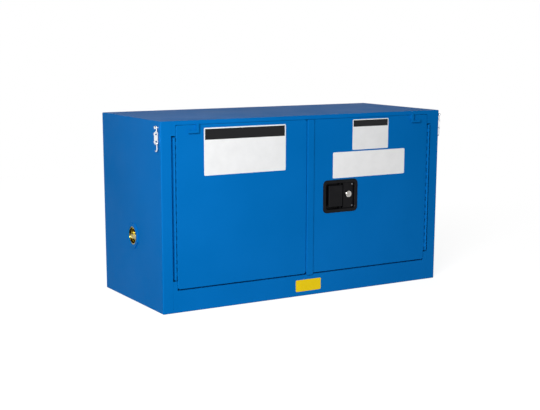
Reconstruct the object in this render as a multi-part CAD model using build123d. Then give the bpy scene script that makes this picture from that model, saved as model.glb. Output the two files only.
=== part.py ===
from build123d import *
import math
import os

os.makedirs("parts", exist_ok=True)

# Safety cabinet with two doors. Millimetres, +Z up, front towards -Y,
# origin at the middle of the bottom face.

# Cabinet box and its double walls
WIDTH = 1092.0
DEPTH = 457.0
HEIGHT = 610.0
SHEET = 1.2
WALL = 40.0
EDGE_R = 3.0

# Front frame, widths measured in from each side, heights from the top and bottom
STILE = 35.5
STILE_LIP = 30.0
SEAM = 0.4
JAMB_EDGE = 51.4
RAIL = 13.0
SILL = 72.0
SUMP_DEPTH = 50.0
STOP_LAP = 8.0

# Doors
DOOR_EDGE = 52.9
DOOR_GAP = 4.2
DOOR_TOP_GAP = 1.0
DOOR_DEPTH = 38.0
DOOR_PROUD = 1.0
DOOR_CORNER = 8.0
DOOR_ROUND = 2.0
SKIN_FLANGE = 16.0
PAN_START = 6.0
PAN_CLEARANCE = 0.1
STOP_GAP = 2.0
MEETING_LINE = -10.5
MEETING_GAP = 2.0
STRIP_WIDTH = 25.0
STRIP_THICKNESS = 4.0
STRIP_DROP = 5.2
STRIP_CORNER = 4.0
STRIP_ROUND = 1.0

# Hinges
PIVOT_INSET = 45.0
PIVOT_PROUD = 2.0
KNUCKLE_R = 3.2
KNUCKLE_COUNT = 35
KNUCKLE_GAP = 0.4
HINGE_BOTTOM = 108.0
HINGE_TOP_DROP = 51.0
HINGE_END_GAP = 5.0
HINGE_PIN_R = 1.5
HINGE_PIN_END = 1.0
HINGE_FIT = 0.08
LEAF = 1.5
HINGE_SLOT_DEPTH = 14.0
FRAME_LEAF_DEPTH = 14.0
DOOR_LEAF_DEPTH = 13.0

# Hold-open hooks on the doors
HOOK_INSET = 124.0
HOOK_REACH = 34.0
HOOK_STRIP = 9.0
HOOK_FOOT = 7.0
HOOK_TIP = 11.0
HOOK_TIP_WIDTH = 6.0
HOOK_ROUND = 1.9
HOOK_THICKNESS = 3.0
HOOK_STANDOFF = 6.0
HOOK_RISE = 6.0
HOOK_LENGTH = 31.0
HOOK_STEM_HEIGHT = 12.0

# Handle dish on the right door
DISH_X = 125.5
DISH_DROP = 3.1
DISH_WIDTH = 141.0
DISH_HEIGHT = 112.0
DISH_CORNER = 16.0
DISH_PROUD = 2.5
DISH_ROUND = 2.0
DISH_MARGIN = 12.0
DISH_WALL = 1.5
CUP_CORNER = 8.0
CUP_DEPTH = 15.0
CUP_SPLIT_GAP = 6.0
LOCK_FLOOR_DEPTH = 5.0
CUP_FIT = 0.3
CUP_MOUTH_BEVEL = 1.5
DISH_SCREW_INSET = 7.0
DISH_SCREW_R = 1.75
DISH_SCREW_HEAD_R = 3.4
DISH_SCREW_HEAD = 1.6
DISH_SCREW_ROUND = 1.0
DISH_SCREW_GRIP = 3.0
SCREW_FIT = 0.15
NUT_SIDES = 6

# Paddle and its pin
FINGER_GAP = 12.0
PADDLE_SHARE = 0.39716
PADDLE_END_GAP = 7.0
PADDLE_PROUD = 1.0
PADDLE_THICKNESS = 5.0
PADDLE_BEVEL = 1.5
PIN_FROM_END = 4.0
PIN_DEPTH = 9.0
PIN_R = 2.5
PIN_FIT = 0.08
PIN_END_GAP = 0.1
EAR = 6.0
EAR_WIDTH = 10.0
EAR_REACH = 4.0
TAIL_WIDTH = 6.0
TAIL_HEIGHT = 10.0
TAIL_GAP = 1.0
TAIL_SLOT_LEFT = 11.0
TAIL_SLOT_RIGHT = 5.0
TAIL_SLOT_SPARE = 2.0
SPRING_WIRE_R = 0.5
SPRING_FIT = 0.4
SPRING_PITCH = 2.0
SPRING_TURNS = 10
SPRING_EAR_GAP = 1.0

# Lock
LOCK_LEFT_OF_MIDDLE = 1.8
LOCK_RISE = 4.0
BEZEL_R = 11.5
BEZEL_PROUD = 1.0
BARREL_R = 9.5
BARREL_DEPTH = 26.0
PLUG_R = 7.0
PLUG_PROUD = 0.5
LOCK_FIT = 0.08
KEY_SLOT = (1.4, 8.5, 3.0)
LOCK_NUT_R = 12.5
LOCK_NUT = 4.0
LOCK_CAM_WIDTH = 8.0
LOCK_CAM_LENGTH = 24.0
LOCK_CAM_THICKNESS = 2.5
LOCK_CAM_GAP = 0.5

# Latch cam, bolts and strikes
CAM_FROM_PIN = 29.0
CAM_DEPTH = 20.0
CAM_THICKNESS = 3.0
CAM_R = 23.0
CAM_FIT = 0.08
STUD_R = 4.0
STUD_HEAD_R = 6.0
STUD_HEAD = 0.8
CAM_GAP = 0.3
CRANK_R = 18.0
CRANK_SWING = 36.0
CRANK_PIN_R = 3.0
CRANK_PIN_PAST = 0.5
SLOT_SPARE = 0.3
BAR_DEPTH = 24.0
BAR_THICKNESS = 3.0
BAR_WIDTH = 16.0
BAR_EYE = 8.0
NOSE_R = 5.0
NOSE_LENGTH = 26.0
NOSE_BEVEL = 1.6
NOSE_SHY = 0.5
NOSE_CLEARANCE = 0.4
GUIDE_FROM_CAM = 70.0
GUIDE_FROM_END = 69.0
GUIDE_LENGTH = 12.0
GUIDE_WALL = 3.0
GUIDE_FIT = 0.3
STRIKE_LENGTH = 44.0
STRIKE_WIDTH = 22.0
STRIKE_THICKNESS = 2.0
STRIKE_HOLE_R = 6.0

# Vents
VENT_Y = -8.0
LEFT_VENT_Z = 222.0
RIGHT_VENT_DROP = 150.0
VENT_BORE_R = 30.3
VENT_TUBE_R = 33.0
VENT_FLANGE = 80.0
VENT_FLANGE_SIDES = 8
VENT_FLANGE_THICKNESS = 4.0
VENT_HOLE_FIT = 0.2
VENT_LIP = 2.0
PLUG_FIT = 0.1
PLUG_RIM_DROP = 2.0
PLUG_LENGTH = 20.0
PLUG_RIM_WALL = 3.5
PLUG_RIM_BEVEL = 0.8
PLUG_FLOOR = 3.0
PLUG_BAR_WIDTH = 13.0
PLUG_BAR_DEPTH = 3.0
PLUG_BAR_DROP = 4.0
ARRESTER_THICKNESS = 1.0
ARRESTER_FIT = 0.1
ARRESTER_HOLE_R = 1.8
ARRESTER_PITCH = 6.5
ARRESTER_RING_COUNT = 6

# Fusible-link chain on each side
LINK_SCREW_BACK = 12.0
LINK_SCREW_DROP = 18.5
LINK_SCREW_R = 2.0
LINK_OUT = 9.5
LINK_COLLAR_R = 3.5
LINK_COLLAR_GAP = 0.6
LINK_HEAD_R = 4.5
LINK_HEAD = 2.6
LINK_NUT_R = 4.0
LINK_NUT = 3.0
WIRE_R = 1.6
WIRE_FIT = 0.4
UPPER_HOOK_DROP = 18.35
UPPER_LOOP_TURN = 240.0
LINK_HOLES = 24.0
LINK_LOBE_R = 7.5
LINK_HOLE_R = 3.6
LINK_WAIST = 12.5
LINK_THICKNESS = 2.0
LINK_SEAT = 0.45
LOWER_LOOP_R = 5.0
LOWER_SHORT_LEG = 3.0
LOWER_LEG = 17.0
LOWER_HOOK_R = 6.0
LOWER_HOOK_TURN = 150.0

# Shelf, standards and clips
SHELF_TOP = 305.0
SHELF_EDGE = 25.0
SHELF_SIDE_GAP = 5.0
SHELF_FRONT_GAP = 25.0
SHELF_BACK_GAP = 6.0
STANDARD_WIDTH = 20.0
STANDARD_THICKNESS = 3.0
STANDARD_BOTTOM_GAP = 2.0
STANDARD_TOP_GAP = 30.0
STANDARD_END = 60.0
STANDARD_SLOT_WIDTH = 6.0
STANDARD_SLOT_HEIGHT = 14.0
STANDARD_PITCH = 32.0
CLIP_THICKNESS = 2.5
CLIP_REACH = 20.0
CLIP_DROP = 18.0

# Earthing stud
EARTH_Y = 150.0
EARTH_Z = 60.0
EARTH_R = 3.0
EARTH_LENGTH = 18.0
EARTH_NUT_R = 6.0
EARTH_NUT = 5.0

# Labels: left edge, top edge below the top of the door or sill, width, height
LABEL_THICKNESS = 0.3
LEFT_LABEL = (-396.5, 11.0, 302.0, 151.0)
UPPER_LABEL = (172.5, 6.0, 150.0, 103.0)
LOWER_LABEL_LEFT = 93.5
LOWER_LABEL_WIDTH = 302.0
LABEL_GAP = 5.0
LABEL_DISH_GAP = 5.1
SILL_LABEL = (-50.5, 16.0, 100.5, 40.0)
LABEL_CORNER = 4.0

# Worked out from the sizes above
LEFT = -1
RIGHT = 1
SIDES = {"left": LEFT, "right": RIGHT}
HALF = WIDTH / 2
FRONT = -DEPTH / 2
BACK = DEPTH / 2
DOOR_FACE = FRONT - DOOR_PROUD
DOOR_BACK = DOOR_FACE + DOOR_DEPTH
STOP_Y = DOOR_BACK + STOP_GAP
INNER_FRONT = STOP_Y + SHEET
DOOR_BOTTOM = SILL + DOOR_GAP
RAIL_Z = HEIGHT - RAIL
DOOR_TOP = RAIL_Z - DOOR_TOP_GAP
STOP_INSET = DOOR_EDGE + STOP_LAP
DAM_TOP = WALL + SUMP_DEPTH
HINGE_TOP = HEIGHT - HINGE_TOP_DROP
HOOK_TOP = DOOR_TOP + HOOK_RISE
HOOK_BOTTOM = HOOK_TOP - HOOK_LENGTH
DISH_Z = (DOOR_BOTTOM + DOOR_TOP) / 2 - DISH_DROP
LOCK_Z = DISH_Z + LOCK_RISE
LOWER_LABEL_DROP = UPPER_LABEL[1] + UPPER_LABEL[3] + LABEL_GAP
LOWER_LABEL_HEIGHT = DOOR_TOP - LOWER_LABEL_DROP - DISH_Z - DISH_HEIGHT / 2 - LABEL_DISH_GAP
LOWER_LABEL = (LOWER_LABEL_LEFT, LOWER_LABEL_DROP, LOWER_LABEL_WIDTH, LOWER_LABEL_HEIGHT)
RIGHT_VENT_Z = HEIGHT - RIGHT_VENT_DROP
LINK_SCREW_Z = HEIGHT - LINK_SCREW_DROP
STANDARD_BOTTOM = DAM_TOP + STANDARD_BOTTOM_GAP
STANDARD_TOP = HEIGHT - WALL - STANDARD_TOP_GAP
PIVOT_Y = FRONT - PIVOT_PROUD
CUP_LEFT = DISH_X - DISH_WIDTH / 2 + DISH_MARGIN
CUP_RIGHT = DISH_X + DISH_WIDTH / 2 - DISH_MARGIN
CUP_BOTTOM = DISH_Z - DISH_HEIGHT / 2 + DISH_MARGIN
CUP_TOP = DISH_Z + DISH_HEIGHT / 2 - DISH_MARGIN
PADDLE_LEFT = CUP_LEFT + FINGER_GAP
PADDLE_RIGHT = PADDLE_LEFT + PADDLE_SHARE * DISH_WIDTH
PADDLE_BOTTOM = CUP_BOTTOM + PADDLE_END_GAP
PADDLE_TOP = CUP_TOP - PADDLE_END_GAP
CUP_SPLIT_X = PADDLE_RIGHT + CUP_SPLIT_GAP
PIN_X = PADDLE_RIGHT - PIN_FROM_END
CAM_X = PIN_X - CAM_FROM_PIN
LOCK_X = (CUP_SPLIT_X + CUP_RIGHT) / 2 - LOCK_LEFT_OF_MIDDLE
CRANK_REST = math.radians(CRANK_SWING / 2)
CRANK_X = CRANK_R * math.cos(CRANK_REST)
CRANK_Z = CRANK_R * math.sin(CRANK_REST)
BAR_OFFSET = (CRANK_X + CRANK_R) / 2
LINK_Y = FRONT + LINK_SCREW_BACK
LINK_DROP = LINK_HOLE_R - WIRE_R - LINK_SEAT
LINK_TOP_Z = LINK_SCREW_Z - UPPER_HOOK_DROP - LINK_DROP
LOWER_WIRE_Z = LINK_TOP_Z - LINK_HOLES - LINK_DROP
VENT_HEIGHTS = {LEFT: LEFT_VENT_Z, RIGHT: RIGHT_VENT_Z}


def block(x0, x1, y0, y1, z0, z1):
    """A box between two corners."""
    centre = Pos((x0 + x1) / 2, (y0 + y1) / 2, (z0 + z1) / 2)
    return centre * Box(abs(x1 - x0), abs(y1 - y0), abs(z1 - z0))


def side_block(side, inset0, inset1, y0, y1, z0, z1):
    """A box whose x is measured in from the left or right side of the cabinet."""
    return block(side * (HALF - inset0), side * (HALF - inset1), y0, y1, z0, z1)


def rod_z(x, y, z0, z1, radius):
    """An upright round bar."""
    return Pos(x, y, (z0 + z1) / 2) * Cylinder(radius, z1 - z0)


def facing_front(y, x=0.0, z=0.0):
    """A plane that looks out of the front, with X to the right and Z up."""
    return Plane(origin=(x, y, z), x_dir=(1, 0, 0), z_dir=(0, -1, 0))


def facing_side(side, y, z, out=0.0):
    """A plane that looks out of one side, at a distance outside its face."""
    return Plane(origin=(side * (HALF + out), y, z), x_dir=(0, side, 0), z_dir=(side, 0, 0))


def chain_section(side, z):
    """The upright plane that the hooks of one chain lie in, with Y to the right and Z up."""
    return Plane(origin=(side * (HALF + LINK_OUT), LINK_Y, z), x_dir=(0, 1, 0), z_dir=(1, 0, 0))


def rod_y(x, z, depth0, depth1, radius):
    """A round bar square to the right door, between two depths from its face."""
    return extrude(facing_front(DOOR_FACE + depth1, x, z) * Circle(radius), depth1 - depth0)


def hex_y(x, z, depth0, depth1, radius):
    """A hexagon nut square to the right door, between two depths from its face."""
    outline = RegularPolygon(radius, NUT_SIDES)
    return extrude(facing_front(DOOR_FACE + depth1, x, z) * outline, depth1 - depth0)


def door_block(x0, x1, depth0, depth1, z0, z1):
    """A box in a door, with its y given as depth from the door's face."""
    return block(x0, x1, DOOR_FACE + depth0, DOOR_FACE + depth1, z0, z1)


def front_edges(solid):
    """The edges of a solid's foremost face."""
    return solid.faces().sort_by(Axis.Y)[0].edges()


def wire(path, radius):
    """A round wire along a path."""
    return sweep(Plane(origin=path @ 0, z_dir=path % 0) * Circle(radius), path=path)


# Outer box: one shell with rounded edges, divided into its sheets

def shell():
    middle = Pos(0, 0, HEIGHT / 2)
    outer = middle * Box(WIDTH, DEPTH, HEIGHT)
    inner = middle * Box(WIDTH - 2 * SHEET, DEPTH - 2 * SHEET, HEIGHT - 2 * SHEET)
    return fillet(outer.edges(), EDGE_R) - fillet(inner.edges(), EDGE_R - SHEET)


def outer_side(side):
    panel = shell() & side_block(side, 0, EDGE_R, FRONT, BACK, 0, HEIGHT)
    vent = facing_side(side, VENT_Y, VENT_HEIGHTS[side]) * Circle(VENT_TUBE_R + VENT_HOLE_FIT)
    screw = facing_side(side, LINK_Y, LINK_SCREW_Z) * Circle(LINK_SCREW_R + SCREW_FIT)
    panel -= extrude(vent, -SHEET)
    panel -= extrude(screw, -SHEET)
    if side == RIGHT:
        panel -= extrude(facing_side(side, EARTH_Y, EARTH_Z) * Circle(EARTH_R + SCREW_FIT), -SHEET)
    return panel


def outer_top():
    edge = HALF - EDGE_R
    return shell() & block(-edge, edge, FRONT, BACK, HEIGHT - EDGE_R, HEIGHT)


def outer_bottom():
    edge = HALF - EDGE_R
    return shell() & block(-edge, edge, FRONT, BACK, 0, EDGE_R)


def outer_back():
    edge = HALF - EDGE_R
    return block(-edge, edge, BACK - SHEET, BACK, EDGE_R, HEIGHT - EDGE_R)


# Front frame

def stile(side):
    plate = side_block(side, EDGE_R, STILE, FRONT, FRONT + SHEET, EDGE_R, HEIGHT - EDGE_R)
    lip = side_block(side, STILE - SHEET, STILE, FRONT, FRONT + STILE_LIP, EDGE_R, HEIGHT - EDGE_R)
    return plate + lip


def jamb(side):
    stop = side_block(side, WALL - SHEET, STOP_INSET, STOP_Y, INNER_FRONT, SILL, RAIL_Z)
    post = stop
    ends = ((SILL, HINGE_BOTTOM - HINGE_END_GAP), (HINGE_TOP + HINGE_END_GAP, RAIL_Z))
    for z0, z1 in ends:
        post += side_block(side, STILE + SEAM, JAMB_EDGE, FRONT, FRONT + SHEET, z0, z1)
        post += side_block(side, JAMB_EDGE - SHEET, JAMB_EDGE, FRONT, STOP_Y, z0, z1)
    return post


def strike_hole(z0, z1, bar_x, radius):
    y = DOOR_FACE + BAR_DEPTH + BAR_THICKNESS / 2
    return rod_z(bar_x, y, z0, z1, radius)


def top_rail():
    inset = STILE + SEAM
    plate = side_block(LEFT, inset, WIDTH - inset, FRONT, FRONT + SHEET, RAIL_Z, HEIGHT - EDGE_R)
    ledge_inset = JAMB_EDGE + SEAM
    ledge = side_block(LEFT, ledge_inset, WIDTH - ledge_inset, FRONT, STOP_Y, RAIL_Z, RAIL_Z + SHEET)
    stop = side_block(LEFT, STOP_INSET, WIDTH - STOP_INSET, STOP_Y, INNER_FRONT,
                      HEIGHT - WALL, RAIL_Z + SHEET)
    hole = strike_hole(RAIL_Z, RAIL_Z + SHEET, CAM_X + BAR_OFFSET, STRIKE_HOLE_R)
    return plate + ledge + stop - hole


def bottom_sill():
    inset = STILE + SEAM
    plate = side_block(LEFT, inset, WIDTH - inset, FRONT, FRONT + SHEET, EDGE_R, SILL)
    ledge = side_block(LEFT, inset, WIDTH - inset, FRONT, STOP_Y, SILL - SHEET, SILL)
    hole = strike_hole(SILL - SHEET, SILL, CAM_X - BAR_OFFSET, STRIKE_HOLE_R)
    return plate + ledge - hole


def sump_dam():
    dam = side_block(LEFT, STOP_INSET, WIDTH - STOP_INSET, STOP_Y, INNER_FRONT, WALL - SHEET, DAM_TOP)
    foot = side_block(LEFT, WALL - SHEET, WIDTH - WALL + SHEET, STOP_Y, INNER_FRONT, WALL - SHEET, SILL)
    return dam + foot


def strikes():
    y = DOOR_FACE + BAR_DEPTH + BAR_THICKNESS / 2
    seats = ((CAM_X + BAR_OFFSET, RAIL_Z + SHEET), (CAM_X - BAR_OFFSET, SILL - SHEET - STRIKE_THICKNESS))
    plates = []
    for x, z in seats:
        top = z + STRIKE_THICKNESS
        plate = block(x - STRIKE_LENGTH / 2, x + STRIKE_LENGTH / 2,
                      y - STRIKE_WIDTH / 2, y + STRIKE_WIDTH / 2, z, top)
        plates.append(plate - strike_hole(z, top, x, STRIKE_HOLE_R))
    return Compound(plates)


# Inner box

def inner_side(side):
    panel = side_block(side, WALL - SHEET, WALL, INNER_FRONT, BACK - WALL, WALL, HEIGHT - WALL)
    hole = facing_side(side, VENT_Y, VENT_HEIGHTS[side], -WALL) * Circle(VENT_TUBE_R + VENT_HOLE_FIT)
    return panel - extrude(hole, SHEET)


def inner_floor():
    edge = HALF - WALL + SHEET
    return block(-edge, edge, INNER_FRONT, BACK - WALL + SHEET, WALL - SHEET, WALL)


def inner_top():
    edge = HALF - WALL + SHEET
    z = HEIGHT - WALL
    return block(-edge, edge, INNER_FRONT, BACK - WALL + SHEET, z, z + SHEET)


def inner_back():
    edge = HALF - WALL + SHEET
    return block(-edge, edge, BACK - WALL, BACK - WALL + SHEET, WALL, HEIGHT - WALL)


# Hinges: the knuckles of the frame and of the door take turns along one pin

def hinge_block(side, inset0, inset1, depth0, depth1, z0=HINGE_BOTTOM, z1=HINGE_TOP):
    """A box beside a hinge, with its depth measured back from the cabinet's front."""
    return side_block(side, inset0, inset1, FRONT + depth0, FRONT + depth1, z0, z1)


def knuckle_rows(on_door):
    """The height ranges of the knuckles of one leaf."""
    pitch = (HINGE_TOP - HINGE_BOTTOM) / KNUCKLE_COUNT
    first = 1 if on_door else 0
    return [(HINGE_BOTTOM + index * pitch, HINGE_BOTTOM + (index + 1) * pitch)
            for index in range(first, KNUCKLE_COUNT, 2)]


def with_knuckles(side, leaf_part, on_door):
    """A leaf with its own knuckles added and the bore for the pin cut."""
    pivot_x = side * (HALF - PIVOT_INSET)
    knuckles = [rod_z(pivot_x, PIVOT_Y, z0 + KNUCKLE_GAP / 2, z1 - KNUCKLE_GAP / 2, KNUCKLE_R)
                for z0, z1 in knuckle_rows(on_door)]
    leaf_part = leaf_part + knuckles
    return leaf_part - rod_z(pivot_x, PIVOT_Y, HINGE_BOTTOM, HINGE_TOP, HINGE_PIN_R + HINGE_FIT)


def frame_leaf(side):
    """A neck back from the knuckles, a web at the bottom of the slot and a plate on the stile's lip."""
    web_depth = HINGE_SLOT_DEPTH - LEAF
    neck_edge = PIVOT_INSET + LEAF / 2
    leaf_part = hinge_block(side, PIVOT_INSET - LEAF / 2, neck_edge, -PIVOT_PROUD, HINGE_SLOT_DEPTH)
    leaf_part += hinge_block(side, STILE, neck_edge, web_depth, HINGE_SLOT_DEPTH)
    leaf_part += hinge_block(side, STILE, STILE + LEAF, web_depth, web_depth + FRAME_LEAF_DEPTH)
    pivot_x = side * (HALF - PIVOT_INSET)
    wide = KNUCKLE_R + KNUCKLE_GAP
    clearings = [rod_z(pivot_x, PIVOT_Y, z0 - KNUCKLE_GAP / 2, z1 + KNUCKLE_GAP / 2, wide)
                 for z0, z1 in knuckle_rows(on_door=True)]
    return with_knuckles(side, leaf_part - clearings, on_door=False)


def door_leaf(side):
    """A plate on the door's edge with a tab to each knuckle, flush with the door's face."""
    plate_edge = DOOR_EDGE - LEAF
    leaf_part = hinge_block(side, plate_edge, DOOR_EDGE, -DOOR_PROUD, DOOR_LEAF_DEPTH)
    tabs = [hinge_block(side, PIVOT_INSET, plate_edge, -DOOR_PROUD, LEAF - DOOR_PROUD,
                        z0 + KNUCKLE_GAP / 2, z1 - KNUCKLE_GAP / 2)
            for z0, z1 in knuckle_rows(on_door=True)]
    return with_knuckles(side, leaf_part + tabs, on_door=True)


def hinge_pins():
    z0 = HINGE_BOTTOM - HINGE_PIN_END
    z1 = HINGE_TOP + HINGE_PIN_END
    pins = [rod_z(side * (HALF - PIVOT_INSET), PIVOT_Y, z0, z1, HINGE_PIN_R) for side in SIDES.values()]
    return Compound(pins)


# Doors

def door_edges(side):
    """The left and right edge of a door."""
    if side == LEFT:
        return -HALF + DOOR_EDGE, MEETING_LINE - MEETING_GAP / 2
    return MEETING_LINE + MEETING_GAP / 2, HALF - DOOR_EDGE


def door_slab(side, inset, corner, depth0, depth1):
    """A round-cornered slab with the door's outline, drawn in all round."""
    x0, x1 = door_edges(side)
    plane = facing_front(DOOR_FACE + depth1, (x0 + x1) / 2, (DOOR_BOTTOM + DOOR_TOP) / 2)
    outline = RectangleRounded(x1 - x0 - 2 * inset, DOOR_TOP - DOOR_BOTTOM - 2 * inset, corner)
    return extrude(plane * outline, depth1 - depth0)


def door_skin(side):
    slab = door_slab(side, 0, DOOR_CORNER, 0, SKIN_FLANGE)
    tray = fillet(front_edges(slab), DOOR_ROUND)
    tray -= door_slab(side, SHEET, DOOR_CORNER - SHEET, SHEET, SKIN_FLANGE)
    if side == RIGHT:
        tray -= cup_block(DISH_WALL + CUP_FIT, 0, SHEET)
    return tray


def door_pan(side):
    inset = SHEET + PAN_CLEARANCE
    corner = DOOR_CORNER - inset
    pan = door_slab(side, inset, corner, PAN_START, DOOR_DEPTH)
    pan -= door_slab(side, inset + SHEET, corner - SHEET, PAN_START, DOOR_DEPTH - SHEET)
    if side == RIGHT:
        radius = NOSE_R + NOSE_CLEARANCE
        wall = 2 * SHEET
        pan -= strike_hole(DOOR_TOP - inset - wall, DOOR_TOP, CAM_X + BAR_OFFSET, radius)
        pan -= strike_hole(DOOR_BOTTOM, DOOR_BOTTOM + inset + wall, CAM_X - BAR_OFFSET, radius)
    return pan


def hold_open_hook(side):
    half = HOOK_STRIP / 2
    leg = Pos(0, HOOK_LENGTH / 2) * Rectangle(HOOK_STRIP, HOOK_LENGTH)
    foot = Pos(side * (HOOK_REACH - half) / 2, HOOK_FOOT / 2) * Rectangle(HOOK_REACH + half, HOOK_FOOT)
    tip_x = side * (HOOK_REACH - HOOK_TIP_WIDTH / 2)
    tip = Pos(tip_x, HOOK_TIP / 2) * Rectangle(HOOK_TIP_WIDTH, HOOK_TIP)
    outline = leg + foot + tip
    outline = fillet(outline.vertices(), HOOK_ROUND)
    leg_x = side * (HALF - HOOK_INSET)
    strip = extrude(facing_front(DOOR_FACE - HOOK_STANDOFF, leg_x, HOOK_BOTTOM) * outline, HOOK_THICKNESS)
    stem = door_block(leg_x - half, leg_x + half, -HOOK_STANDOFF, 0, DOOR_TOP - HOOK_STEM_HEIGHT, DOOR_TOP)
    return strip + stem


def centre_strip():
    x0 = MEETING_LINE + MEETING_GAP / 2
    bottom = DOOR_BOTTOM - STRIP_DROP
    plane = facing_front(DOOR_FACE, x0 + STRIP_WIDTH / 2, (bottom + DOOR_TOP) / 2)
    outline = RectangleRounded(STRIP_WIDTH, DOOR_TOP - bottom, STRIP_CORNER)
    strip = extrude(plane * outline, STRIP_THICKNESS)
    return fillet(front_edges(strip), STRIP_ROUND)


def label(place, face, top):
    x, drop, width, height = place
    plane = facing_front(face, x + width / 2, top - drop - height / 2)
    return extrude(plane * RectangleRounded(width, height, LABEL_CORNER), LABEL_THICKNESS)


# Handle

def cup_block(grow, depth0, depth1, left=CUP_LEFT, right=CUP_RIGHT):
    """A round-cornered block with the outline of the handle's cup, grown all round."""
    width = right - left + 2 * grow
    height = CUP_TOP - CUP_BOTTOM + 2 * grow
    plane = facing_front(DOOR_FACE + depth1, (left + right) / 2, DISH_Z)
    return extrude(plane * RectangleRounded(width, height, CUP_CORNER + grow), depth1 - depth0)


def cup_mouth():
    """The bevel where the cup meets the dish's face."""
    width = CUP_RIGHT - CUP_LEFT + 2 * CUP_MOUTH_BEVEL
    height = CUP_TOP - CUP_BOTTOM + 2 * CUP_MOUTH_BEVEL
    plane = facing_front(DOOR_FACE - DISH_PROUD, (CUP_LEFT + CUP_RIGHT) / 2, DISH_Z)
    outline = RectangleRounded(width, height, CUP_CORNER + CUP_MOUTH_BEVEL)
    return extrude(plane * outline, -CUP_MOUTH_BEVEL, taper=45)


def dish_screw_places():
    """Each screw's x, z and the depth of the floor that its head sits on."""
    places = []
    left = (CUP_LEFT + DISH_SCREW_INSET, CUP_DEPTH)
    right = (CUP_RIGHT - DISH_SCREW_INSET, LOCK_FLOOR_DEPTH)
    for x, floor in (left, right):
        for z in (CUP_BOTTOM + DISH_SCREW_INSET, CUP_TOP - DISH_SCREW_INSET):
            places.append((x, z, floor))
    return places


def handle_dish():
    rim_plane = facing_front(DOOR_FACE, DISH_X, DISH_Z)
    rim = extrude(rim_plane * RectangleRounded(DISH_WIDTH, DISH_HEIGHT, DISH_CORNER), DISH_PROUD)
    dish = fillet(front_edges(rim), DISH_ROUND)
    dish += cup_block(DISH_WALL, 0, LOCK_FLOOR_DEPTH + DISH_WALL)
    dish += cup_block(DISH_WALL, 0, CUP_DEPTH + DISH_WALL, CUP_LEFT, CUP_SPLIT_X)
    dish -= cup_mouth()
    dish -= cup_block(0, -DISH_PROUD, LOCK_FLOOR_DEPTH)
    dish -= cup_block(0, -DISH_PROUD, CUP_DEPTH, CUP_LEFT, CUP_SPLIT_X)
    half_slot = TAIL_HEIGHT / 2 + TAIL_SLOT_SPARE
    dish -= door_block(PIN_X - TAIL_SLOT_LEFT, PIN_X + TAIL_SLOT_RIGHT, CUP_DEPTH, CUP_DEPTH + DISH_WALL,
                       DISH_Z - half_slot, DISH_Z + half_slot)
    dish -= rod_y(LOCK_X, LOCK_Z, LOCK_FLOOR_DEPTH, LOCK_FLOOR_DEPTH + DISH_WALL, BARREL_R + SCREW_FIT)
    for x, z, floor in dish_screw_places():
        dish -= rod_y(x, z, floor, floor + DISH_WALL, DISH_SCREW_R + SCREW_FIT)
    stud_end = CAM_DEPTH + CAM_THICKNESS + CAM_GAP
    dish += rod_y(CAM_X, DISH_Z, CUP_DEPTH + DISH_WALL, stud_end, STUD_R)
    dish += rod_y(CAM_X, DISH_Z, stud_end, stud_end + STUD_HEAD, STUD_HEAD_R)
    dish += rod_y(CAM_X, DISH_Z, CUP_DEPTH + DISH_WALL, CAM_DEPTH - CAM_GAP, STUD_HEAD_R)
    return dish


def handle_fasteners():
    pieces = []
    for x, z, floor in dish_screw_places():
        head = rod_y(x, z, floor - DISH_SCREW_HEAD, floor, DISH_SCREW_HEAD_R)
        screw = fillet(front_edges(head), DISH_SCREW_ROUND)
        back = floor + DISH_WALL
        screw += rod_y(x, z, floor, back, DISH_SCREW_R)
        screw += rod_y(x, z, back, back + DISH_SCREW_GRIP, DISH_SCREW_HEAD_R)
        pieces.append(screw)
    seat = LOCK_FLOOR_DEPTH + DISH_WALL
    nut = hex_y(LOCK_X, LOCK_Z, seat, seat + LOCK_NUT, LOCK_NUT_R)
    pieces.append(nut - rod_y(LOCK_X, LOCK_Z, seat, seat + LOCK_NUT, BARREL_R + SCREW_FIT))
    return Compound(pieces)


def paddle():
    plate = door_block(PADDLE_LEFT, PADDLE_RIGHT, -PADDLE_PROUD, PADDLE_THICKNESS - PADDLE_PROUD,
                       PADDLE_BOTTOM, PADDLE_TOP)
    plate = chamfer(front_edges(plate), PADDLE_BEVEL)
    back = PADDLE_THICKNESS - PADDLE_PROUD
    ear_left = PADDLE_RIGHT - EAR_WIDTH
    for z0, z1 in ((PADDLE_BOTTOM, PADDLE_BOTTOM + EAR), (PADDLE_TOP - EAR, PADDLE_TOP)):
        ear = door_block(ear_left, PADDLE_RIGHT, back, PIN_DEPTH + EAR_REACH, z0, z1)
        plate += ear - rod_z(PIN_X, DOOR_FACE + PIN_DEPTH, z0, z1, PIN_R + PIN_FIT)
    tail_bottom = DISH_Z - TAIL_HEIGHT / 2
    tail_top = DISH_Z + TAIL_HEIGHT / 2
    tail = door_block(PIN_X - TAIL_WIDTH / 2, PIN_X + TAIL_WIDTH / 2, back, CAM_DEPTH - TAIL_GAP,
                      tail_bottom, tail_top)
    plate += tail - rod_z(PIN_X, DOOR_FACE + PIN_DEPTH, tail_bottom, tail_top, PIN_R + PIN_FIT)
    return plate


def paddle_pin():
    return rod_z(PIN_X, DOOR_FACE + PIN_DEPTH, CUP_BOTTOM + PIN_END_GAP, CUP_TOP - PIN_END_GAP, PIN_R)


def paddle_spring():
    coil = Helix(SPRING_PITCH, SPRING_PITCH * SPRING_TURNS, PIN_R + SPRING_FIT + SPRING_WIRE_R)
    z0 = PADDLE_BOTTOM + EAR + SPRING_EAR_GAP + SPRING_WIRE_R
    return Pos(PIN_X, DOOR_FACE + PIN_DEPTH, z0) * wire(coil, SPRING_WIRE_R)


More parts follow.
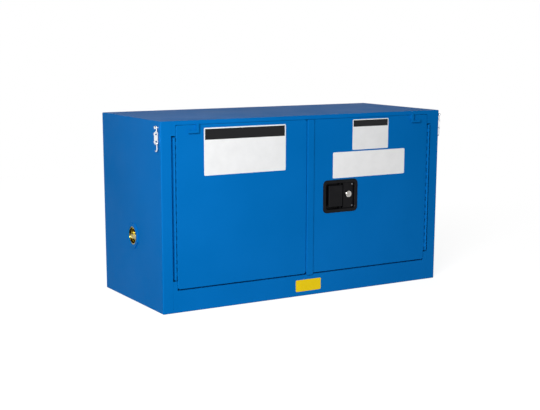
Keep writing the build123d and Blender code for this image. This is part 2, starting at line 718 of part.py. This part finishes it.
def lock_barrel():
    barrel = rod_y(LOCK_X, LOCK_Z, -BEZEL_PROUD, LOCK_FLOOR_DEPTH, BEZEL_R)
    barrel = chamfer(front_edges(barrel), BEZEL_PROUD)
    barrel += rod_y(LOCK_X, LOCK_Z, LOCK_FLOOR_DEPTH, BARREL_DEPTH, BARREL_R)
    return barrel - rod_y(LOCK_X, LOCK_Z, -BEZEL_PROUD, BARREL_DEPTH, PLUG_R + LOCK_FIT)


def lock_plug():
    front = -BEZEL_PROUD - PLUG_PROUD
    cam0 = BARREL_DEPTH + LOCK_CAM_GAP
    cam1 = cam0 + LOCK_CAM_THICKNESS
    plug = rod_y(LOCK_X, LOCK_Z, front, cam1, PLUG_R)
    width, height, depth = KEY_SLOT
    plug -= door_block(LOCK_X - width / 2, LOCK_X + width / 2, front, front + depth,
                       LOCK_Z - height / 2, LOCK_Z + height / 2)
    plug += door_block(LOCK_X - LOCK_CAM_WIDTH / 2, LOCK_X + LOCK_CAM_WIDTH / 2, cam0, cam1,
                       LOCK_Z - LOCK_CAM_LENGTH, LOCK_Z)
    return plug


# Latch: a cam with two crank pins draws both bolts back together

def latch_cam():
    back = CAM_DEPTH + CAM_THICKNESS
    cam = rod_y(CAM_X, DISH_Z, CAM_DEPTH, back, CAM_R)
    cam -= rod_y(CAM_X, DISH_Z, CAM_DEPTH, back, STUD_R + CAM_FIT)
    end = BAR_DEPTH + BAR_THICKNESS + CRANK_PIN_PAST
    for turn in (1, -1):
        cam += rod_y(CAM_X + turn * CRANK_X, DISH_Z + turn * CRANK_Z, back, end, CRANK_PIN_R)
    return cam


def bolt(turn):
    """The upper bolt for turn 1, the lower bolt for turn -1."""
    x = CAM_X + turn * BAR_OFFSET
    pin_z = DISH_Z + turn * CRANK_Z
    nose_end = RAIL_Z - NOSE_SHY if turn > 0 else SILL + NOSE_SHY
    bar_end = nose_end - turn * NOSE_LENGTH
    eye_end = pin_z - turn * BAR_EYE
    bar_back = BAR_DEPTH + BAR_THICKNESS
    bar = door_block(x - BAR_WIDTH / 2, x + BAR_WIDTH / 2, BAR_DEPTH, bar_back, eye_end, bar_end)
    slot_length = CRANK_R - CRANK_X + 2 * (CRANK_PIN_R + SLOT_SPARE)
    slot_height = 2 * (CRANK_PIN_R + SLOT_SPARE)
    bar -= door_block(x - slot_length / 2, x + slot_length / 2, BAR_DEPTH, bar_back,
                      pin_z - slot_height / 2, pin_z + slot_height / 2)
    nose_y = DOOR_FACE + BAR_DEPTH + BAR_THICKNESS / 2
    nose = rod_z(x, nose_y, min(bar_end, nose_end), max(bar_end, nose_end), NOSE_R)
    tip = nose.faces().sort_by(Axis.Z)[-1 if turn > 0 else 0].edges()
    return bar + chamfer(tip, NOSE_BEVEL)


def rod_guides():
    pieces = []
    half = BAR_WIDTH / 2 + GUIDE_FIT
    for turn in (1, -1):
        x = CAM_X + turn * BAR_OFFSET
        door_end = DOOR_TOP if turn > 0 else DOOR_BOTTOM
        for z in (DISH_Z + turn * GUIDE_FROM_CAM, door_end - turn * GUIDE_FROM_END):
            z0 = z - GUIDE_LENGTH / 2
            z1 = z + GUIDE_LENGTH / 2
            guide = door_block(x - half - GUIDE_WALL, x + half + GUIDE_WALL,
                               BAR_DEPTH - GUIDE_FIT - GUIDE_WALL, DOOR_DEPTH - SHEET, z0, z1)
            guide -= door_block(x - half, x + half, BAR_DEPTH - GUIDE_FIT,
                                BAR_DEPTH + BAR_THICKNESS + GUIDE_FIT, z0, z1)
            pieces.append(guide)
    return Compound(pieces)


# Vents

def vent_bushing(side):
    plane = facing_side(side, VENT_Y, VENT_HEIGHTS[side])
    octagon = RegularPolygon(VENT_FLANGE / 2, VENT_FLANGE_SIDES, major_radius=False,
                             rotation=180 / VENT_FLANGE_SIDES)
    bushing = extrude(plane * octagon, VENT_FLANGE_THICKNESS)
    bushing += extrude(plane * Circle(VENT_TUBE_R), -WALL - VENT_LIP)
    bore = plane.offset(VENT_FLANGE_THICKNESS) * Circle(VENT_BORE_R)
    return bushing - extrude(bore, -VENT_FLANGE_THICKNESS - WALL - VENT_LIP)


def flame_arrester(side):
    plane = facing_side(side, VENT_Y, VENT_HEIGHTS[side], -WALL - VENT_LIP)
    disc = Circle(VENT_BORE_R - ARRESTER_FIT)
    rings = int((VENT_BORE_R - ARRESTER_HOLE_R) // ARRESTER_PITCH)
    holes = [Circle(ARRESTER_HOLE_R)]
    for ring in range(1, rings + 1):
        spots = PolarLocations(ring * ARRESTER_PITCH, ARRESTER_RING_COUNT * ring)
        holes.extend(spots * Circle(ARRESTER_HOLE_R))
    return extrude(plane * (disc - holes), ARRESTER_THICKNESS)


def vent_plug(side):
    radius = VENT_BORE_R - PLUG_FIT
    dish_r = radius - PLUG_RIM_WALL
    rim = facing_side(side, VENT_Y, VENT_HEIGHTS[side], VENT_FLANGE_THICKNESS - PLUG_RIM_DROP)
    plug = extrude(rim * Circle(radius), -PLUG_LENGTH)
    outer = plug.faces().sort_by(Axis.X)[-1 if side > 0 else 0].edges()
    plug = chamfer(outer, PLUG_RIM_BEVEL)
    plug -= extrude(rim * Circle(dish_r), PLUG_FLOOR - PLUG_LENGTH)
    bar = rim.offset(-PLUG_BAR_DEPTH) * Pos(0, -PLUG_BAR_DROP) * Rectangle(2 * dish_r, PLUG_BAR_WIDTH)
    return plug + extrude(bar, PLUG_FLOOR + PLUG_BAR_DEPTH - PLUG_LENGTH)


# Fusible-link chain

def link_screws():
    screws = []
    for side in SIDES.values():
        plane = facing_side(side, LINK_Y, LINK_SCREW_Z)
        collar_end = LINK_OUT - WIRE_R - LINK_COLLAR_GAP
        head_start = LINK_OUT + WIRE_R + LINK_COLLAR_GAP
        inner = SHEET + LINK_NUT
        screw = extrude(plane.offset(-inner) * Circle(LINK_SCREW_R), inner + head_start)
        screw += extrude(plane * Circle(LINK_COLLAR_R), collar_end)
        screw += extrude(plane.offset(head_start) * Circle(LINK_HEAD_R), LINK_HEAD)
        screw += extrude(plane.offset(-SHEET) * RegularPolygon(LINK_NUT_R, NUT_SIDES), -LINK_NUT)
        screws.append(screw)
    return Compound(screws)


def upper_hook(side):
    loop = LINK_SCREW_R + WIRE_FIT + WIRE_R
    straight = UPPER_HOOK_DROP - loop
    path = CenterArc((0, 0), loop, 180 - UPPER_LOOP_TURN, UPPER_LOOP_TURN)
    path += Line((-loop, 0), (-loop, -straight))
    path += CenterArc((0, -straight), loop, 180, 180)
    return wire(chain_section(side, LINK_SCREW_Z) * path, WIRE_R)


def fusible_link(side):
    x = side * (HALF + LINK_OUT)
    plane = facing_front(LINK_Y + LINK_THICKNESS / 2, x, LINK_TOP_Z)
    outline = Circle(LINK_LOBE_R) + Pos(0, -LINK_HOLES) * Circle(LINK_LOBE_R)
    outline += Pos(0, -LINK_HOLES / 2) * Rectangle(LINK_WAIST, LINK_HOLES)
    outline -= Circle(LINK_HOLE_R)
    outline -= Pos(0, -LINK_HOLES) * Circle(LINK_HOLE_R)
    return extrude(plane * outline, LINK_THICKNESS)


def lower_hook(side):
    loop = LOWER_LOOP_R
    end = -loop - LOWER_LEG
    path = Line((loop, -loop - LOWER_SHORT_LEG), (loop, -loop))
    path += CenterArc((0, -loop), loop, 0, 180)
    path += Line((-loop, -loop), (-loop, end))
    path += CenterArc((-loop + LOWER_HOOK_R, end), LOWER_HOOK_R, 180, LOWER_HOOK_TURN)
    return wire(chain_section(side, LOWER_WIRE_Z) * path, WIRE_R)


# Shelf

def shelf():
    edge = HALF - WALL - SHELF_SIDE_GAP
    y0 = INNER_FRONT + SHELF_FRONT_GAP
    y1 = BACK - WALL - SHELF_BACK_GAP
    tray = block(-edge, edge, y0, y1, SHELF_TOP - SHELF_EDGE, SHELF_TOP)
    return tray - block(-edge + SHEET, edge - SHEET, y0 + SHEET, y1 - SHEET,
                        SHELF_TOP - SHELF_EDGE, SHELF_TOP - SHEET)


def standard_places():
    """Each shelf standard's side and the y of its middle."""
    ends = (INNER_FRONT + STANDARD_END, BACK - WALL - STANDARD_END)
    return [(side, y) for side in SIDES.values() for y in ends]


def shelf_standards():
    strips = []
    count = int((STANDARD_TOP - STANDARD_BOTTOM - STANDARD_PITCH) // STANDARD_PITCH)
    half = STANDARD_WIDTH / 2
    for side, y in standard_places():
        strip = side_block(side, WALL, WALL + STANDARD_THICKNESS, y - half, y + half,
                           STANDARD_BOTTOM, STANDARD_TOP)
        slots = []
        for index in range(count):
            z = STANDARD_BOTTOM + STANDARD_PITCH * (index + 1)
            slots.append(side_block(side, WALL, WALL + STANDARD_THICKNESS,
                                    y - STANDARD_SLOT_WIDTH / 2, y + STANDARD_SLOT_WIDTH / 2,
                                    z, z + STANDARD_SLOT_HEIGHT))
        strips.append(strip - slots)
    return Compound(strips)


def shelf_clips():
    clips = []
    top = SHELF_TOP - SHELF_EDGE
    inset = WALL + STANDARD_THICKNESS
    half = STANDARD_WIDTH / 2
    for side, y in standard_places():
        clip = side_block(side, inset, inset + CLIP_REACH, y - half, y + half, top - CLIP_THICKNESS, top)
        clip += side_block(side, inset, inset + CLIP_THICKNESS, y - half, y + half, top - CLIP_DROP, top)
        clips.append(clip)
    return Compound(clips)


def earthing_stud():
    plane = facing_side(RIGHT, EARTH_Y, EARTH_Z)
    stud = extrude(plane.offset(-SHEET - EARTH_NUT) * Circle(EARTH_R), SHEET + EARTH_NUT + EARTH_LENGTH)
    stud += extrude(plane * RegularPolygon(EARTH_NUT_R, NUT_SIDES), EARTH_NUT)
    return stud + extrude(plane.offset(-SHEET) * RegularPolygon(EARTH_NUT_R, NUT_SIDES), -EARTH_NUT)


def nodes():
    """Every piece by name."""
    pieces = {
        "outer_top": outer_top(),
        "outer_bottom": outer_bottom(),
        "outer_back": outer_back(),
        "top_rail": top_rail(),
        "bottom_sill": bottom_sill(),
        "sump_dam": sump_dam(),
        "latch_strikes": strikes(),
        "inner_floor": inner_floor(),
        "inner_top": inner_top(),
        "inner_back": inner_back(),
        "hinge_pins": hinge_pins(),
        "centre_strip": centre_strip(),
        "left_door_label": label(LEFT_LABEL, DOOR_FACE, DOOR_TOP),
        "right_door_upper_label": label(UPPER_LABEL, DOOR_FACE, DOOR_TOP),
        "right_door_lower_label": label(LOWER_LABEL, DOOR_FACE, DOOR_TOP),
        "sill_label": label(SILL_LABEL, FRONT, SILL),
        "handle_dish": handle_dish(),
        "handle_fasteners": handle_fasteners(),
        "handle_paddle": paddle(),
        "paddle_pin": paddle_pin(),
        "paddle_spring": paddle_spring(),
        "lock_barrel": lock_barrel(),
        "lock_plug": lock_plug(),
        "latch_cam": latch_cam(),
        "upper_bolt": bolt(1),
        "lower_bolt": bolt(-1),
        "bolt_guides": rod_guides(),
        "vent_bushings": Compound([vent_bushing(side) for side in SIDES.values()]),
        "flame_arresters": Compound([flame_arrester(side) for side in SIDES.values()]),
        "link_screws": link_screws(),
        "shelf": shelf(),
        "shelf_standards": shelf_standards(),
        "shelf_clips": shelf_clips(),
        "earthing_stud": earthing_stud(),
    }
    for name, side in SIDES.items():
        pieces[f"outer_{name}_side"] = outer_side(side)
        pieces[f"inner_{name}_side"] = inner_side(side)
        pieces[f"{name}_stile"] = stile(side)
        pieces[f"{name}_jamb"] = jamb(side)
        pieces[f"{name}_hinge_frame_leaf"] = frame_leaf(side)
        pieces[f"{name}_hinge_door_leaf"] = door_leaf(side)
        pieces[f"{name}_door_skin"] = door_skin(side)
        pieces[f"{name}_door_pan"] = door_pan(side)
        pieces[f"{name}_hold_open_hook"] = hold_open_hook(side)
        pieces[f"{name}_vent_plug"] = vent_plug(side)
        pieces[f"{name}_upper_link_hook"] = upper_hook(side)
        pieces[f"{name}_fusible_link"] = fusible_link(side)
        pieces[f"{name}_lower_link_hook"] = lower_hook(side)
    return pieces


for node_name, solid in nodes().items():
    export_step(solid, f"parts/{node_name}.step")
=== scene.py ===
import math

import bpy
from mathutils import Matrix, Vector


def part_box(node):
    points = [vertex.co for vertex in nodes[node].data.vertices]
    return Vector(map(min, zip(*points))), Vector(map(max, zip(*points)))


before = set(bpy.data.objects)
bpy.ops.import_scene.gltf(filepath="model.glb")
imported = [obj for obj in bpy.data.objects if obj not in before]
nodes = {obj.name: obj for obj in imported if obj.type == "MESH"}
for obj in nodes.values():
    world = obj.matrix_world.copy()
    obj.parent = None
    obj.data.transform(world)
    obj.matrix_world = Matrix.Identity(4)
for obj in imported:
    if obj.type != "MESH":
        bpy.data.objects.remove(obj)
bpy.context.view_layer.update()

# Camera: place in metres, angles in degrees, focal length and rise in pixels of a picture 540 wide
IMAGE_WIDTH = 540.0
SENSOR_MM = 36.0
CAMERA_PLACE = (-2.0367, -3.35617, 0.88239)
CAMERA_AZIMUTH = -31.063
CAMERA_ELEVATION = 11.526
CAMERA_ROLL = 0.173
CAMERA_FOCAL_PX = 1122.5
CAMERA_RISE_PX = 55.0
CAMERA_REACH = 200.0

# Paint and vinyl colours
BLUE = (0.0, 0.155, 0.50)
# The inside paint is the outside blue darkened by this factor: painted shade for the inside of the cabinet
INNER_PAINTED_SHADE = 0.9
WHITE = (0.89, 0.895, 0.90)
CLEAN_WHITE = (0.95, 0.95, 0.95)
YELLOW = (0.92, 0.66, 0.004)
INK = (0.005, 0.005, 0.006)

# Dark bands on the labels, in metres
LEFT_LABEL_BORDER = 0.004
LEFT_LABEL_BAND = 0.034
UPPER_LABEL_BORDER = 0.003
UPPER_LABEL_BAND = 0.022

# Lamps: places and sizes in metres, power in watts
LAMP_TARGET = (0.0, 0.0, 0.3)
KEY_PLACE = (-2.4, -2.6, 1.5)
KEY_SIZE = 1.2
KEY_POWER = 133.0
BACK_PLACE = (1.6, 3.2, 0.8)
BACK_SIZE = 1.5
BACK_POWER = 45.0

# World: the fill that falls on things, and the seen backdrop, white up to one height and grey from another
WORLD_FILL = 0.2
BACKDROP_WHITE = 1.0
BACKDROP_GREY = 0.2
BACKDROP_WHITE_HEIGHT = 0.25
BACKDROP_GREY_HEIGHT = 0.6

# Floor, in metres: matt near the cabinet, where its shadow falls, and plain white beyond
FLOOR_HALF = 60.0
FLOOR_NEAR = 1.2
FLOOR_FAR = 3.2
FLOOR_MATT = (0.28, 0.28, 0.28)
FLOOR_NO_MATT = (0.0, 0.0, 0.0)
FLOOR_NEAR_GLOW = 0.87
FLOOR_FAR_GLOW = 1.0

# The range that most values of a noise lie in
NOISE_LOW = 0.3
NOISE_HIGH = 0.7


def make_camera():
    az = math.radians(CAMERA_AZIMUTH)
    el = math.radians(CAMERA_ELEVATION)
    roll = math.radians(CAMERA_ROLL)
    back = Vector((math.sin(az) * math.cos(el), -math.cos(az) * math.cos(el), math.sin(el)))
    level = Vector((math.cos(az), math.sin(az), 0))
    upright = back.cross(level)
    right = level * math.cos(roll) + upright * math.sin(roll)
    up = back.cross(right)
    data = bpy.data.cameras.new("camera")
    data.sensor_fit = "HORIZONTAL"
    data.sensor_width = SENSOR_MM
    data.lens = CAMERA_FOCAL_PX / IMAGE_WIDTH * SENSOR_MM
    data.shift_y = CAMERA_RISE_PX / IMAGE_WIDTH
    data.clip_end = CAMERA_REACH
    camera = bpy.data.objects.new("camera", data)
    turn = Matrix((right, up, back)).transposed().to_4x4()
    camera.matrix_world = Matrix.Translation(CAMERA_PLACE) @ turn
    bpy.context.scene.collection.objects.link(camera)
    bpy.context.scene.camera = camera


class Nodes:
    """Short calls for the nodes of one tree."""

    def __init__(self, tree):
        self.tree = tree
        self.where = tree.nodes.new("ShaderNodeTexCoord").outputs["Object"]

    def node(self, kind, inputs=(), **settings):
        made = self.tree.nodes.new(kind)
        for name, value in settings.items():
            setattr(made, name, value)
        for key, value in dict(inputs).items():
            if isinstance(value, bpy.types.NodeSocket):
                self.tree.links.new(value, made.inputs[key])
            else:
                made.inputs[key].default_value = value
        return made

    def stretched(self, scale):
        return self.node("ShaderNodeMapping", {"Vector": self.where, "Scale": scale}).outputs["Vector"]

    def noise(self, scale, detail=2.0, rough=0.5, where=None):
        made = self.node("ShaderNodeTexNoise", {"Vector": where or self.where, "Scale": scale,
                                                "Detail": detail, "Roughness": rough})
        return made.outputs["Fac"]

    def cells(self, scale):
        return self.node("ShaderNodeTexVoronoi", {"Vector": self.where, "Scale": scale}).outputs["Color"]

    def remap(self, value, low, high, new_low, new_high):
        made = self.node("ShaderNodeMapRange", {"Value": value, "From Min": low, "From Max": high,
                                                "To Min": new_low, "To Max": new_high})
        return made.outputs["Result"]

    def spread(self, noise, new_low=0.0, new_high=1.0, low=NOISE_LOW, high=NOISE_HIGH):
        """A noise stretched from its own range to a new one."""
        return self.remap(noise, low, high, new_low, new_high)

    def math(self, operation, a, b):
        return self.node("ShaderNodeMath", {0: a, 1: b}, operation=operation).outputs[0]

    def mix(self, factor, a, b):
        made = self.node("ShaderNodeMix", {"Factor": factor}, data_type="RGBA")
        for socket, value in ((made.inputs[6], a), (made.inputs[7], b)):
            if isinstance(value, bpy.types.NodeSocket):
                self.tree.links.new(value, socket)
            else:
                socket.default_value = (*value, 1.0)
        return made.outputs[2]

    def bump(self, height, strength, distance, after=None):
        inputs = {"Height": height, "Strength": strength, "Distance": distance}
        if after:
            inputs["Normal"] = after
        return self.node("ShaderNodeBump", inputs).outputs["Normal"]

    def within(self, axis, low, high):
        """1 where the object's coordinate on an axis is between two values, else 0."""
        place = self.node("ShaderNodeSeparateXYZ", {"Vector": self.where}).outputs[axis]
        above = self.math("GREATER_THAN", place, low)
        below = self.math("LESS_THAN", place, high)
        return self.math("MULTIPLY", above, below)

    def shown(self, strength):
        """The strength for rays from the camera, mirrors and glass, and none for other light."""
        path = self.node("ShaderNodeLightPath").outputs
        seen = self.math("MAXIMUM", path["Is Camera Ray"], path["Is Glossy Ray"])
        seen = self.math("MAXIMUM", seen, path["Is Transmission Ray"])
        return self.math("MULTIPLY", seen, strength)


class Surface(Nodes):
    """A material with its shader."""

    def __init__(self, name):
        self.material = bpy.data.materials.new(name)
        self.material.use_nodes = True
        self.shader = self.material.node_tree.nodes["Principled BSDF"]
        super().__init__(self.material.node_tree)

    def set(self, name, value):
        self.shader.inputs[name].default_value = value

    def feed(self, name, output):
        self.tree.links.new(output, self.shader.inputs[name])


def shaded(colour, factor, lift=0.0):
    return tuple(min(1.0, factor * c + lift) for c in colour)


def paint(name, colour, roughness, specular):
    """Powder coat on sheet steel: orange peel, slow ripples in the sheet, a little unevenness of colour."""
    s = Surface(name)
    slow = s.noise(scale=2.5, detail=3.0)
    fine = s.noise(scale=240.0)
    light = shaded(colour, 1.05, lift=0.002)
    tone = s.mix(s.spread(slow), shaded(colour, 0.93), light)
    s.feed("Base Color", s.mix(s.spread(fine, 0.0, 0.10, low=0.35, high=0.75), tone, light))
    smear = s.noise(scale=9.0, detail=4.0, rough=0.6)
    s.feed("Roughness", s.spread(smear, roughness - 0.04, roughness + 0.05))
    s.set("Specular IOR Level", specular)
    ripple = s.bump(s.noise(scale=3.2, detail=1.0), strength=0.25, distance=0.004)
    s.feed("Normal", s.bump(s.noise(scale=700.0), strength=0.10, distance=0.0004, after=ripple))
    return s.material


def spangle(name):
    """Galvanised sheet: crystals of zinc, each at its own grey."""
    s = Surface(name)
    crystal = s.node("ShaderNodeSeparateColor", {"Color": s.cells(scale=95.0)}).outputs[0]
    frost = s.noise(scale=420.0, detail=3.0)
    tone = s.mix(crystal, (0.50, 0.52, 0.54), (0.66, 0.68, 0.69))
    s.feed("Base Color", s.mix(s.spread(frost, 0.0, 0.35, low=0.4, high=0.8), tone, (0.72, 0.73, 0.74)))
    s.feed("Roughness", s.remap(crystal, 0.0, 1.0, 0.34, 0.52))
    s.set("Metallic", 1.0)
    s.feed("Normal", s.bump(crystal, strength=0.06, distance=0.0003))
    return s.material


def plated(name, low, high, roughness, scratch):
    """Plated steel: a cloudy tone and fine drawn scratches."""
    s = Surface(name)
    cloud = s.noise(scale=60.0, detail=4.0, rough=0.6)
    lines = s.noise(scale=90.0, detail=3.0, rough=0.6, where=s.stretched(scratch))
    s.feed("Base Color", s.mix(s.spread(cloud), low, high))
    s.feed("Roughness", s.spread(lines, roughness - 0.05, roughness + 0.08))
    s.set("Metallic", 1.0)
    s.feed("Normal", s.bump(lines, strength=0.08, distance=0.0002))
    return s.material


def satin_black(name):
    """Black powder coat with a fine pebbled grain."""
    s = Surface(name)
    grain = s.noise(scale=1400.0)
    dust = s.noise(scale=35.0, detail=4.0, rough=0.65)
    cover = s.spread(dust, 0.0, 0.6, low=0.45, high=0.8)
    s.feed("Base Color", s.mix(cover, (0.003, 0.003, 0.004), (0.010, 0.010, 0.011)))
    s.feed("Roughness", s.spread(grain, 0.30, 0.44))
    s.set("Specular IOR Level", 0.12)
    s.feed("Normal", s.bump(grain, strength=0.18, distance=0.0003))
    return s.material


def vinyl(name, node, ground, border=0.0, band=0.0):
    """A blank label: a plain ground and, if wanted, a plain dark band inside its border at the top."""
    s = Surface(name)
    low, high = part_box(node)
    haze = s.noise(scale=22.0, detail=4.0, rough=0.6)
    tone = s.mix(s.spread(haze, low=0.35, high=0.75), ground, shaded(ground, 0.94))
    if band:
        across = s.within(0, low.x + border, high.x - border)
        upright = s.within(2, high.z - border - band, high.z - border)
        ink = s.mix(s.spread(s.noise(scale=900.0, detail=1.0)), INK, shaded(INK, 1.4))
        tone = s.mix(s.math("MULTIPLY", across, upright), tone, ink)
    s.feed("Base Color", tone)
    s.feed("Roughness", s.spread(haze, 0.30, 0.42))
    s.set("Specular IOR Level", 0.2)
    s.feed("Normal", s.bump(s.noise(scale=60.0, detail=3.0), strength=0.05, distance=0.0006))
    return s.material


# The look of each material slot, and of the labels by node
finishes = {
    "cabinet_paint": paint("cabinet_paint_look", BLUE, roughness=0.5, specular=0.03),
    # The inside paint is a darkened copy of the outside blue: painted shade for the inside of the cabinet
    "inner_paint": paint("inner_paint_painted_shade_look", shaded(BLUE, INNER_PAINTED_SHADE), roughness=0.52, specular=0.08),
    "galvanised": spangle("galvanised_look"),
    "bright_zinc": plated("bright_zinc_look", low=(0.84, 0.85, 0.87), high=(0.93, 0.94, 0.95),
                          roughness=0.2, scratch=(1.0, 1.0, 8.0)),
    "dark_steel": plated("dark_steel_look", low=(0.11, 0.11, 0.12), high=(0.20, 0.20, 0.21),
                         roughness=0.30, scratch=(1.0, 1.0, 4.0)),
    "yellow_zinc": plated("yellow_zinc_look", low=(0.24, 0.20, 0.06), high=(0.58, 0.52, 0.24),
                          roughness=0.17, scratch=(1.0, 6.0, 1.0)),
    "black_handle": satin_black("black_handle_look"),
    # The lock's colours are darker and warmer than bright chrome: a painted dark reflection of the
    # surroundings in the chrome
    "lock_chrome": plated("lock_chrome_painted_reflection_look", low=(0.36, 0.35, 0.33), high=(0.50, 0.48, 0.45),
                          roughness=0.16, scratch=(6.0, 1.0, 1.0)),
}
labels = {
    "left_door_label": vinyl("left_label_look", "left_door_label", WHITE,
                             LEFT_LABEL_BORDER, LEFT_LABEL_BAND),
    "right_door_upper_label": vinyl("upper_label_look", "right_door_upper_label", WHITE,
                                    UPPER_LABEL_BORDER, UPPER_LABEL_BAND),
    "right_door_lower_label": vinyl("lower_label_look", "right_door_lower_label", CLEAN_WHITE),
    "sill_label": vinyl("sill_label_look", "sill_label", YELLOW),
}


def dress_nodes():
    for name, obj in nodes.items():
        slot = obj.data.materials[0].name
        look = labels.get(name) or finishes[slot.split(".")[0]]
        for index in range(len(obj.data.materials)):
            obj.material_slots[index].link = "OBJECT"
            obj.material_slots[index].material = look


def make_floor():
    corners = [(-FLOOR_HALF, -FLOOR_HALF, 0), (FLOOR_HALF, -FLOOR_HALF, 0),
               (FLOOR_HALF, FLOOR_HALF, 0), (-FLOOR_HALF, FLOOR_HALF, 0)]
    mesh = bpy.data.meshes.new("floor")
    mesh.from_pydata(corners, [], [(0, 1, 2, 3)])
    floor = bpy.data.objects.new("floor", mesh)
    bpy.context.scene.collection.objects.link(floor)
    s = Surface("floor_look")
    s.tree.nodes.remove(s.shader)
    out = s.tree.nodes["Material Output"]
    reach = s.node("ShaderNodeVectorMath", {0: s.where}, operation="LENGTH").outputs["Value"]
    far = s.remap(reach, FLOOR_NEAR, FLOOR_FAR, 0.0, 1.0)
    matt = s.node("ShaderNodeBsdfDiffuse", {"Color": s.mix(far, FLOOR_MATT, FLOOR_NO_MATT)})
    strength = s.shown(s.remap(far, 0.0, 1.0, FLOOR_NEAR_GLOW, FLOOR_FAR_GLOW))
    glow = s.node("ShaderNodeEmission", {"Color": (1.0, 1.0, 1.0, 1.0), "Strength": strength})
    both = s.node("ShaderNodeAddShader", {0: matt.outputs[0], 1: glow.outputs[0]})
    s.tree.links.new(both.outputs[0], out.inputs["Surface"])
    mesh.materials.append(s.material)


def make_world():
    """A white backdrop all round that fades to a grey ceiling, and a plain fill for all other light."""
    world = bpy.data.worlds.new("world")
    bpy.context.scene.world = world
    world.use_nodes = True
    tree = world.node_tree
    s = Nodes(tree)
    background = tree.nodes["Background"]
    generated = s.node("ShaderNodeTexCoord").outputs["Generated"]
    height = s.node("ShaderNodeSeparateXYZ", {"Vector": generated}).outputs["Z"]
    backdrop = s.remap(height, BACKDROP_WHITE_HEIGHT, BACKDROP_GREY_HEIGHT, BACKDROP_WHITE, BACKDROP_GREY)
    strength = s.node("ShaderNodeMix", {0: s.shown(1.0), 2: WORLD_FILL, 3: backdrop}).outputs[0]
    tree.links.new(strength, background.inputs["Strength"])
    background.inputs["Color"].default_value = (1, 1, 1, 1)


def lamp(name, place, size, watts, mirrored=True):
    """A square soft lamp aimed at the cabinet, seen or not seen in reflections."""
    data = bpy.data.lights.new(name, "AREA")
    data.shape = "SQUARE"
    data.size = size
    data.energy = watts
    obj = bpy.data.objects.new(name, data)
    obj.visible_glossy = mirrored
    obj.location = place
    obj.rotation_euler = (Vector(place) - Vector(LAMP_TARGET)).to_track_quat("Z", "Y").to_euler()
    bpy.context.scene.collection.objects.link(obj)


make_camera()
dress_nodes()
make_floor()
make_world()
lamp("key", KEY_PLACE, KEY_SIZE, KEY_POWER)
lamp("back", BACK_PLACE, BACK_SIZE, BACK_POWER, mirrored=False)
bpy.context.scene.view_settings.view_transform = "Standard"
